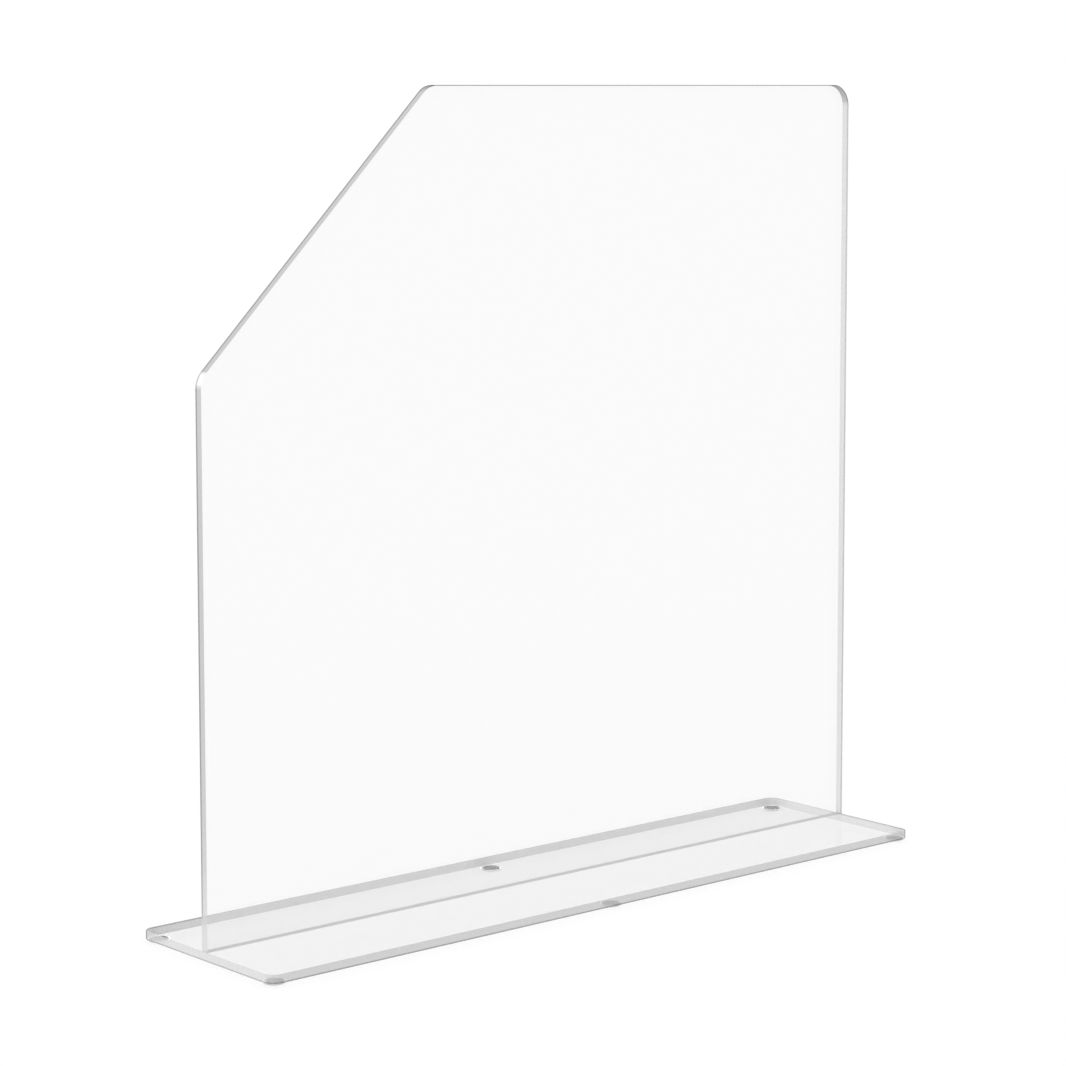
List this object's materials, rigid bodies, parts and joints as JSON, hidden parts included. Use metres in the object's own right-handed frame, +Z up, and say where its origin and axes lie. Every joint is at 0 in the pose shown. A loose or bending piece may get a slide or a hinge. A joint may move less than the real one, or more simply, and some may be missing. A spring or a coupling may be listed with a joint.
{
  "type": "bench splash shield",
  "caption": "Free-standing clear splash shield for a lab bench: an upright sheet with one cut corner, bonded on edge to a flat base plate on clear bumper feet.",
  "frame": {"origin": "on the bench surface, under the middle of the base plate", "axes": "+X along the length towards the square-topped end, away from the cut corner; +Y from the front to the rear; +Z up"},
  "size_m": [0.6096, 0.1524, 0.5867],
  "materials": {
    "clear_sheet": "clear cast acrylic sheet with flame-bright, lightly eased edges",
    "clear_bumper": "clear soft polyurethane, smooth and slightly domed"
  },
  "bodies": {
    "root": {"panel": "clear_sheet", "base": "clear_sheet", "foot_front_left": "clear_bumper", "foot_front_middle": "clear_bumper", "foot_front_right": "clear_bumper", "foot_rear_left": "clear_bumper", "foot_rear_middle": "clear_bumper", "foot_rear_right": "clear_bumper"}
  },
  "joints": []
}
